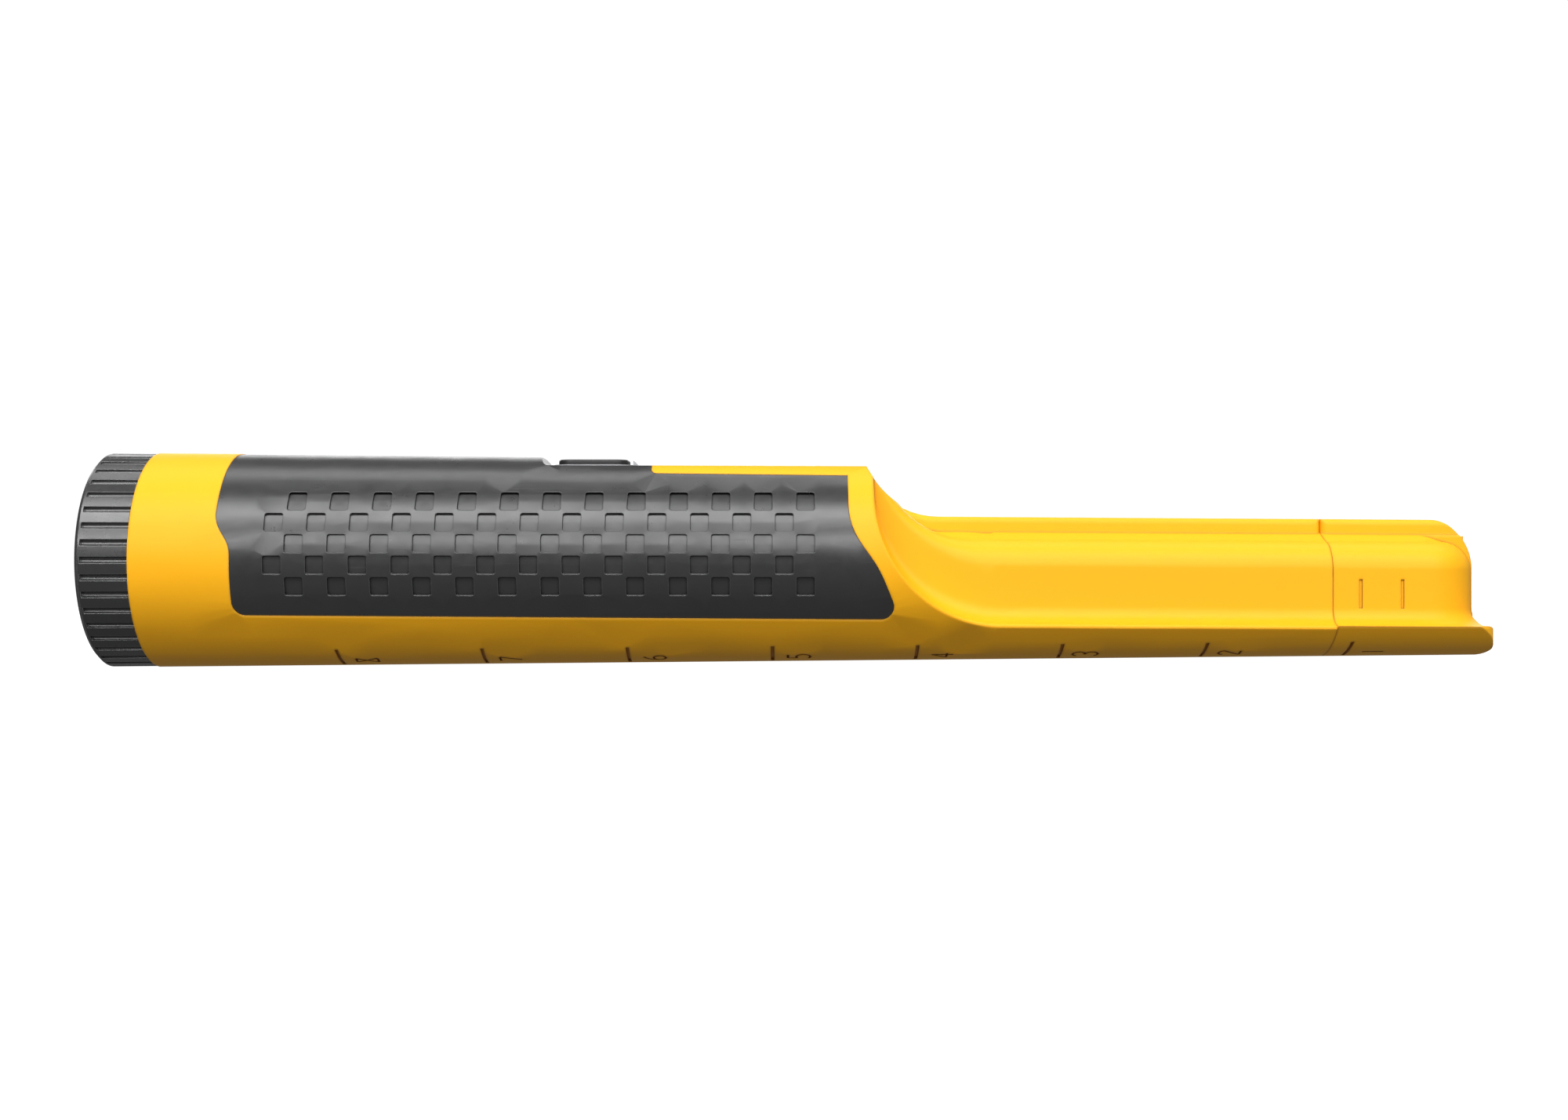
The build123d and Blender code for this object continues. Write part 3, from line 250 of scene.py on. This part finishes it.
@dataclass(frozen=True)
class Moulded:
    """Moulded plastic or rubber: spark-eroded grain, handling marks, softly worn edges partly lightened as a
    painted highlight, and painted shade in grooves.
    """

    name: str
    colour: Colour
    roughness: float
    grain: float = 0.16              # millimetres between grains
    grain_depth: float = 0.004       # millimetres
    mottle: float = 0.05
    edge_radius: float = 0.35        # millimetres
    # lightening of edges: partly real wear, partly a painted highlight
    edge_wear_and_highlight: float = 0.12
    scuffs: float = 0.05
    specular: float = 0.5
    coat: float = 0.0
    subsurface: float = 0.0
    groove_shade: Optional[Colour] = None  # colour of painted shade in grooves and corners
    groove_shade_reach: float = 0.9        # millimetres; how far the painted shade reaches

    def build(self) -> bpy.types.Material:
        """Makes the material."""
        g = Graph(self.name)
        broad = g.noise(45.0, 3.0)
        middle = g.noise(420.0, 3.0, 0.6)
        grain = g.noise(1.0 / (self.grain * MM), 2.0, 0.6)
        scratch = g.noise(1.0, 2.0, 0.7, g.stretched(Lay.ALONG.value, (0.0, 0.12, 0.2))).band(0.62, 0.74)
        edge = g.edge_mask(self.edge_radius * MM)
        tone = (broad - 0.5) * (2 * self.mottle) + (middle - 0.5) * self.mottle
        dark = tuple(channel * (1 - 1.6 * self.mottle) for channel in self.colour)
        light = tuple(min(1.0, channel * (1 + 1.6 * self.mottle) + 0.01 * self.mottle) for channel in self.colour)
        colour = g.mixed((tone * 3 + 0.5).larger(0.0).smaller(1.0), dark, light)
        # Edges lightened: partly real wear, partly a painted highlight on the rounded edges.
        worn_and_highlit = tuple(min(1.0, channel + (1 - channel) * self.edge_wear_and_highlight) for channel in self.colour)
        wear_and_highlight = edge * (0.45 + middle * 0.9)
        colour = g.mixed(wear_and_highlight.smaller(1.0), colour, worn_and_highlit)
        # Painted shade: grooves, dimples and corners darkened towards a darker colour by ambient occlusion.
        if self.groove_shade is not None:
            colour = g.mixed(g.crevice_shade_mask(self.groove_shade_reach * MM), colour, self.groove_shade)
        g.feed(g.shader.inputs["Base Color"], colour)
        rough = self.roughness + (middle - 0.5) * 0.14 + scratch * self.scuffs - edge * 0.08
        g.feed(g.shader.inputs["Roughness"], rough.larger(0.05).smaller(1.0))
        height = grain + middle * 0.8 - scratch * 0.5
        normal = g.bump(height, self.grain_depth * MM, g.rounded(self.edge_radius * MM))
        g.feed(g.shader.inputs["Normal"], normal)
        g.shader.inputs["Specular IOR Level"].default_value = self.specular
        g.shader.inputs["Coat Weight"].default_value = self.coat
        if self.subsurface > 0:
            g.shader.inputs["Subsurface Weight"].default_value = self.subsurface
            g.shader.inputs["Subsurface Radius"].default_value = (1.0, 0.45, 0.1)
            g.shader.inputs["Subsurface Scale"].default_value = 0.6 * MM
        return g.material


@dataclass(frozen=True)
class Metal:
    """Bare metal with a drawn or brushed lay."""

    name: str
    colour: Colour
    roughness: float
    lay: Lay = Lay.ALONG
    brush_depth: float = 0.003       # millimetres
    tarnish: float = 0.12

    def build(self) -> bpy.types.Material:
        """Makes the material."""
        g = Graph(self.name)
        brush = g.noise(1.0, 3.0, 0.6, g.stretched(self.lay.value))
        cloud = g.noise(240.0, 4.0, 0.6)
        dull = tuple(channel * (1 - self.tarnish) * shade for channel, shade in zip(self.colour, (0.9, 0.84, 0.76)))
        g.feed(g.shader.inputs["Base Color"], g.mixed(cloud.band(0.4, 0.75), self.colour, dull))
        g.feed(g.shader.inputs["Roughness"], self.roughness + (brush - 0.5) * 0.16 + cloud * 0.08)
        g.feed(g.shader.inputs["Normal"], g.bump(brush, self.brush_depth * MM, g.rounded(0.15 * MM)))
        g.shader.inputs["Metallic"].default_value = 1.0
        return g.material


@dataclass(frozen=True)
class Foam:
    """Closed-cell foam."""

    name: str
    colour: Colour
    cell: float = 0.45               # millimetres

    def build(self) -> bpy.types.Material:
        """Makes the material."""
        g = Graph(self.name)
        cells = g.cells(1.0 / (self.cell * MM))
        # Painted shade: the pits of the cells are darkened.
        dark = tuple(channel * 0.55 for channel in self.colour)
        g.feed(g.shader.inputs["Base Color"], g.mixed(cells.band(0.2, 0.7), dark, self.colour))
        g.feed(g.shader.inputs["Roughness"], 0.82 + cells * 0.12)
        g.feed(g.shader.inputs["Normal"], g.bump(cells, 0.12 * MM))
        return g.material


@dataclass(frozen=True)
class Windings:
    """Enamelled wire wound in turns about X."""

    name: str
    colour: Colour
    turns_per_mm: float = 3.0

    def build(self) -> bpy.types.Material:
        """Makes the material."""
        g = Graph(self.name)
        phase = g.axis("X") * (self.turns_per_mm / MM * 2 * math.pi) + g.noise(300.0, 2.0) * 1.5
        ridge = g.maths("SINE", phase) * 0.5 + 0.5
        # Painted shade: the valleys between turns are darkened.
        valley_shade = tuple(channel * 0.35 for channel in self.colour)
        g.feed(g.shader.inputs["Base Color"], g.mixed(ridge, valley_shade, self.colour))
        g.feed(g.shader.inputs["Roughness"], 0.22 + (1 - ridge) * 0.3)
        g.feed(g.shader.inputs["Normal"], g.bump(ridge, 0.08 * MM))
        g.shader.inputs["Metallic"].default_value = 0.85
        g.shader.inputs["Coat Weight"].default_value = 0.5
        return g.material


@dataclass(frozen=True)
class SolderMask:
    """Green board with copper tracks under its mask and a pale glass edge."""

    name: str
    colour: Colour

    def build(self) -> bpy.types.Material:
        """Makes the material."""
        g = Graph(self.name)
        settings = {"offset": 0.5, "offset_frequency": 2}
        inputs = {"Vector": g.place, "Scale": 260.0, "Mortar Size": 0.03, "Color1": (0.0, 0.0, 0.0),
                  "Color2": (0.0, 0.0, 0.0), "Mortar": (1.0, 1.0, 1.0)}
        tracks = Signal(g, g.node("ShaderNodeTexBrick", settings, inputs).outputs["Fac"])
        cloud = g.noise(150.0, 3.0)
        track_colour = (self.colour[0] * 1.8 + 0.03, self.colour[1] * 1.7, self.colour[2] * 1.4)
        g.feed(g.shader.inputs["Base Color"], g.mixed(tracks, self.colour, track_colour))
        g.feed(g.shader.inputs["Roughness"], 0.28 + cloud * 0.14)
        g.feed(g.shader.inputs["Normal"], g.bump(tracks + cloud * 0.2, 0.03 * MM))
        g.shader.inputs["Coat Weight"].default_value = 0.4
        return g.material


@dataclass(frozen=True)
class Frosted:
    """Clear plastic with a fine frosted face."""

    name: str
    colour: Colour
    roughness: float = 0.3
    clearness: float = 0.55

    def build(self) -> bpy.types.Material:
        """Makes the material."""
        g = Graph(self.name)
        cloud = g.noise(700.0, 3.0, 0.6)
        pale = tuple(min(1.0, channel * 1.12) for channel in self.colour)
        g.feed(g.shader.inputs["Base Color"], g.mixed(cloud, self.colour, pale))
        g.feed(g.shader.inputs["Roughness"], self.roughness + (cloud - 0.5) * 0.2)
        g.feed(g.shader.inputs["Normal"], g.bump(g.noise(6000.0), 0.003 * MM, g.rounded(0.12 * MM)))
        g.shader.inputs["Transmission Weight"].default_value = self.clearness
        g.shader.inputs["IOR"].default_value = 1.49
        return g.material


YELLOW: Colour = (0.95, 0.45, 0.01)
# Painted shade colour for the yellow shell's grooves, ticks and numerals.
YELLOW_GROOVE_SHADE: Colour = (0.45, 0.16, 0.005)

FINISHES: tuple[Any, ...] = (
    Moulded("yellow_shell", YELLOW, 0.46, grain=0.2, grain_depth=0.003, mottle=0.02, edge_radius=0.7,
            edge_wear_and_highlight=0.03, specular=0.2, subsurface=0.08, groove_shade=YELLOW_GROOVE_SHADE),
    Moulded("yellow_tip", YELLOW, 0.46, grain=0.2, grain_depth=0.003, mottle=0.02, edge_radius=0.7,
            edge_wear_and_highlight=0.03, specular=0.2, subsurface=0.08, groove_shade=YELLOW_GROOVE_SHADE),
    # The grip's near-black groove colour is painted shade in the corners of its dimples.
    Moulded("grip_rubber", (0.024, 0.024, 0.025), 0.3, grain=0.14, grain_depth=0.003, mottle=0.06,
            edge_radius=0.25, edge_wear_and_highlight=0.1, scuffs=0.08, specular=0.75, groove_shade=(0.004, 0.004, 0.004),
            groove_shade_reach=0.6),
    Moulded("button_rubber", (0.014, 0.014, 0.015), 0.4, grain=0.1, grain_depth=0.003, mottle=0.05),
    Moulded("bezel_grey", (0.3, 0.3, 0.31), 0.35, grain_depth=0.002),
    Frosted("lens_clear", (0.62, 0.64, 0.66)),
    Frosted("lamp_body", (0.85, 0.88, 0.9), 0.08, 0.8),
    Moulded("plate_silver", (0.86, 0.85, 0.82), 0.28, grain_depth=0.001, mottle=0.02),
    # The cap's lightened rib edges are mostly a painted highlight, partly wear.
    Moulded("cap_black", (0.02, 0.02, 0.021), 0.28, grain=0.12, grain_depth=0.003, mottle=0.06,
            edge_radius=0.2, edge_wear_and_highlight=0.3, specular=1.0),
    Moulded("seal_rubber", (0.012, 0.012, 0.012), 0.22, grain_depth=0.001, coat=0.3),
    Foam("foam_grey", (0.11, 0.11, 0.115)),
    Moulded("battery_jacket", (0.1, 0.11, 0.14), 0.3, grain_depth=0.001, coat=0.2),
    Metal("terminal_plated", (0.76, 0.72, 0.64), 0.25),
    Moulded("snap_black", (0.015, 0.015, 0.015), 0.4),
    Metal("contact_plated", (0.76, 0.72, 0.64), 0.25),
    Moulded("lead_red", (0.5, 0.02, 0.015), 0.35, grain_depth=0.001),
    Moulded("chassis_grey", (0.16, 0.16, 0.165), 0.45),
    SolderMask("board_green", (0.008, 0.11, 0.03)),
    Metal("screw_steel", (0.6, 0.6, 0.6), 0.3, Lay.NONE),
    Moulded("switch_black", (0.015, 0.015, 0.015), 0.42),
    Moulded("plunger_white", (0.75, 0.75, 0.72), 0.4),
    Moulded("chip_black", (0.012, 0.012, 0.012), 0.55, grain=0.08),
    Metal("capacitor_can", (0.72, 0.72, 0.74), 0.3),
    Moulded("chip_parts", (0.3, 0.2, 0.12), 0.45),
    Moulded("buzzer_black", (0.014, 0.014, 0.014), 0.4),
    Metal("motor_steel", (0.62, 0.62, 0.64), 0.3),
    Metal("shaft_steel", (0.7, 0.7, 0.7), 0.18),
    Metal("weight_brass", (0.68, 0.5, 0.2), 0.35, Lay.NONE),
    Moulded("holder_rubber", (0.03, 0.03, 0.03), 0.6),
    Moulded("ferrite_grey", (0.045, 0.045, 0.048), 0.6, grain=0.1, grain_depth=0.01),
    Moulded("bobbin_natural", (0.72, 0.67, 0.54), 0.45, subsurface=0.1),
    Windings("copper_wire", (0.62, 0.24, 0.08)),
    Metal("shield_foil", (0.8, 0.55, 0.33), 0.25, Lay.NONE, 0.02),
    Moulded("lead_green", (0.02, 0.22, 0.05), 0.35, grain_depth=0.001),
)


class Paintbox:
    """Every finish of the record's material slots, made once."""

    def __init__(self) -> None:
        """Builds the materials."""
        self.materials: dict[str, bpy.types.Material] = {finish.name: finish.build() for finish in FINISHES}

    def dress(self, piece: bpy.types.Object, slot: str) -> None:
        """Gives a piece the finish of a slot.

        Args:
            piece: the mesh object.
            slot: the slot's name, which is the finish's name.
        """
        material = self.materials[slot]
        if piece.material_slots:
            for holder in piece.material_slots:
                holder.material = material
        else:
            piece.data.materials.append(material)


# ---- mesh work ----------------------------------------------------------------------------------
def finished(name: str, mesh: bmesh.types.BMesh, body: str, sharp_degrees: float = 35.0) -> bpy.types.Object:
    """Turns a bmesh into a piece that rides on a body.

    Args:
        name: the piece's name.
        mesh: the bmesh, in metres in the row frame; it is freed.
        body: the body that carries the piece.
        sharp_degrees: edges that turn more than this stay sharp.

    Returns:
        The new object.
    """
    data = bpy.data.meshes.new(name)
    limit = math.radians(sharp_degrees)
    for face in mesh.faces:
        face.smooth = True
    for edge in mesh.edges:
        edge.smooth = len(edge.link_faces) == 2 and edge.calc_face_angle(0.0) < limit
    mesh.to_mesh(data)
    mesh.free()
    piece = bpy.data.objects.new(name, data)
    bpy.context.scene.collection.objects.link(piece)
    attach(piece, body)
    return piece


def joined_copy(node: str, merge: float = 0.002 * MM) -> bmesh.types.BMesh:
    """A CAD node's surface with its loose triangles joined up.

    Args:
        node: the CAD node.
        merge: distance under which points are one.

    Returns:
        A bmesh of the joined surface.
    """
    mesh = bmesh.new()
    mesh.from_mesh(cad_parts[node].data)
    bmesh.ops.remove_doubles(mesh, verts=mesh.verts, dist=merge)
    bmesh.ops.dissolve_degenerate(mesh, dist=merge, edges=mesh.edges)
    return mesh


@dataclass
class SubAssembly:
    """A named group of pieces that are dressed together."""

    paintbox: Paintbox
    body: str = "root"
    slots: dict[str, str] = field(default_factory=dict)

    def smooth_skin(self, node: str, slot: str, body: Optional[str] = None,
                    sharp_degrees: float = 32.0) -> bpy.types.Object:
        """Stands a joined, smoothly shaded copy in for a CAD node.

        Args:
            node: the CAD node.
            slot: its finish.
            body: the body it rides on, or the sub-assembly's own.
            sharp_degrees: edges that turn more than this stay sharp.

        Returns:
            The new piece.
        """
        piece = finished(f"{node}_skin", joined_copy(node), body or self.body, sharp_degrees)
        weigh = piece.modifiers.new("even_shading", "WEIGHTED_NORMAL")
        weigh.keep_sharp = True
        weigh.weight = 80
        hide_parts(node)
        self.paintbox.dress(piece, slot)
        log.info("%s stands for %s", piece.name, node)
        return piece

    def dress_nodes(self) -> None:
        """Gives each carried-over CAD node its finish."""
        for node, slot in self.slots.items():
            self.paintbox.dress(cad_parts[node], slot)
            log.info("%s keeps its CAD mesh with finish %s", node, slot)

    def build(self) -> None:
        """Makes and dresses every piece."""
        self.dress_nodes()


# ---- sub-assemblies -----------------------------------------------------------------------------
@dataclass
class Housing(SubAssembly):
    """Yellow body with its name plate."""

    def build(self) -> None:
        """Makes the shell's smooth skin and the plate."""
        self.smooth_skin("main_housing", "yellow_shell")
        self.smooth_skin("name_plate", "plate_silver")


@dataclass
class SearchTip(SubAssembly):
    """Pull-off cover over the nose."""

    body: str = "tip"

    def build(self) -> None:
        """Makes the cover's smooth skin."""
        self.smooth_skin("tip_cover", "yellow_tip")


@dataclass
class Grip(SubAssembly):
    """Overmoulded rubber with square dimples."""

    def build(self) -> None:
        """Makes the grip's smooth skin."""
        self.smooth_skin("grip_sleeve", "grip_rubber")


@dataclass
class ButtonGroup(SubAssembly):
    """Push button, bezel, lamp window and switch."""

    def build(self) -> None:
        """Makes the button's skins and dresses the rest."""
        self.smooth_skin("button_pad", "button_rubber", "button")
        self.smooth_skin("button_bezel", "bezel_grey")
        self.smooth_skin("lamp_lens", "lens_clear")
        self.smooth_skin("lamp", "lamp_body")
        self.dress_nodes()


@dataclass
class CapGroup(SubAssembly):
    """Screw cap with its seal ring and foam plug."""

    def build(self) -> None:
        """Makes the cap's skins."""
        self.smooth_skin("battery_cap", "cap_black", "cap", 28.0)
        self.smooth_skin("cap_spigot", "cap_black", "cap")
        self.smooth_skin("cap_seal", "seal_rubber", "seal")
        self.smooth_skin("cap_pad", "foam_grey", "cap")


# ---- studio -------------------------------------------------------------------------------------
@dataclass(frozen=True)
class Softbox:
    """One long softbox."""

    name: str
    elevation: float                 # degrees above the horizon, from the camera's side
    height: float                    # metres
    power: float                     # watts


@dataclass
class Studio:
    """Camera, softboxes and pale floor."""

    aim_x: float = 121.0 * MM
    distance: float = 341.0 * MM
    lens: float = 43.45
    floor_size: float = 30.0
    body_taper: float = 2.25
    body_length: float = 246.0
    ambient: float = 0.22
    softbox_length: float = 1.5
    softbox_reach: float = 0.9
    floor_clearance: float = 0.12 * MM
    backdrop: float = 1.3

    def build(self) -> None:
        """Sets up everything round the detector."""
        self.add_camera()
        self.add_softbox(Softbox("upper_softbox", 52.0, 0.34, 10.5))
        self.add_softbox(Softbox("front_softbox", 22.0, 0.14, 5.5))
        self.add_softbox(Softbox("top_softbox", 105.0, 0.3, 3.5))
        self.add_softbox(Softbox("back_softbox", 160.0, 0.3, 3.0))
        self.add_floor()
        self.add_world()

    def add_camera(self) -> None:
        """Level camera square to the detector's side."""
        data = bpy.data.cameras.new("camera")
        data.lens = self.lens
        data.clip_start = 0.01
        data.clip_end = 60.0
        camera = bpy.data.objects.new("camera", data)
        camera.location = (self.aim_x, -self.distance, 0.0)
        camera.rotation_euler = (math.pi / 2, 0.0, 0.0)
        bpy.context.scene.collection.objects.link(camera)
        bpy.context.scene.camera = camera

    def add_softbox(self, box: Softbox) -> None:
        """Hangs a wide softbox parallel to the body.

        Args:
            box: the softbox's name, place, height and power.
        """
        data = bpy.data.lights.new(box.name, "AREA")
        data.shape = "RECTANGLE"
        data.size = self.softbox_length
        data.size_y = box.height
        data.energy = box.power
        light = bpy.data.objects.new(box.name, data)
        angle = math.radians(box.elevation)
        reach = self.softbox_reach
        light.location = (self.aim_x, -reach * math.cos(angle), reach * math.sin(angle))
        light.rotation_euler = (math.pi / 2 - angle, 0.0, 0.0)
        bpy.context.scene.collection.objects.link(light)

    def add_floor(self) -> None:
        """Pale floor that the underside lies on, running on to the horizon."""
        mesh = bmesh.new()
        bmesh.ops.create_grid(mesh, x_segments=1, y_segments=1, size=self.floor_size / 2)
        fall = math.atan2(self.body_taper, self.body_length)
        drop = Matrix.Translation((0.0, 0.0, cad_box[0][2] - self.floor_clearance))
        bmesh.ops.transform(mesh, matrix=drop @ Matrix.Rotation(-fall, 4, "Y"), verts=mesh.verts)
        data = bpy.data.meshes.new("floor")
        mesh.to_mesh(data)
        mesh.free()
        data.materials.append(self.paper())
        floor = bpy.data.objects.new("floor", data)
        bpy.context.scene.collection.objects.link(floor)
        floor.visible_diffuse = False
        floor.visible_glossy = False
        floor.visible_shadow = False

    def paper(self) -> bpy.types.Material:
        """Matt white paper, lit evenly from behind."""
        g = Graph("paper_floor")
        for socket, value in {"Base Color": (0.2, 0.2, 0.2, 1.0), "Roughness": 0.95, "Specular IOR Level": 0.0,
                              "Emission Color": (1.0, 1.0, 1.0, 1.0), "Emission Strength": 1.0}.items():
            g.shader.inputs[socket].default_value = value
        return g.material

    def add_world(self) -> None:
        """White surroundings as the camera sees them; the light they shed on the detector is much weaker."""
        world = bpy.data.worlds.new("studio")
        bpy.context.scene.world = world
        world.use_nodes = True
        tree = world.node_tree
        tree.nodes.clear()
        path = tree.nodes.new("ShaderNodeLightPath")
        strength = tree.nodes.new("ShaderNodeMapRange")
        strength.inputs["To Min"].default_value = self.ambient
        strength.inputs["To Max"].default_value = self.backdrop
        background = tree.nodes.new("ShaderNodeBackground")
        output = tree.nodes.new("ShaderNodeOutputWorld")
        tree.links.new(path.outputs["Is Camera Ray"], strength.inputs["Value"])
        tree.links.new(strength.outputs["Result"], background.inputs["Strength"])
        tree.links.new(background.outputs[0], output.inputs[0])
        bpy.context.scene.view_settings.view_transform = "Standard"


def main() -> None:
    """Builds the detector's pieces in order, then the studio, and reports each."""
    logging.basicConfig(level=logging.INFO, format="%(name)s: %(message)s")
    paintbox = Paintbox()
    groups: tuple[SubAssembly, ...] = (
        Housing(paintbox),
        SearchTip(paintbox),
        Grip(paintbox),
        ButtonGroup(paintbox, slots={"switch_body": "switch_black", "switch_plunger": "plunger_white"}),
        CapGroup(paintbox),
        SubAssembly(paintbox, slots={
            "battery": "battery_jacket", "battery_terminals": "terminal_plated", "battery_snap": "snap_black",
            "snap_contacts": "contact_plated", "battery_leads": "lead_red"}),
        SubAssembly(paintbox, slots={
            "chassis": "chassis_grey", "circuit_board": "board_green", "board_screws": "screw_steel",
            "controller_chip": "chip_black", "capacitors": "capacitor_can", "small_parts": "chip_parts",
            "buzzer": "buzzer_black"}),
        SubAssembly(paintbox, slots={
            "motor_can": "motor_steel", "motor_shaft": "shaft_steel", "motor_weight": "weight_brass",
            "motor_holder": "holder_rubber"}),
        SubAssembly(paintbox, slots={
            "ferrite_rod": "ferrite_grey", "coil_bobbin": "bobbin_natural", "search_coil": "copper_wire",
            "coil_shield": "shield_foil", "coil_leads": "lead_green", "nose_bumper": "foam_grey"}),
    )
    for group in groups:
        group.build()
        log.info("built %s", type(group).__name__)
    Studio().build()


if __name__ == "__main__":
    main()
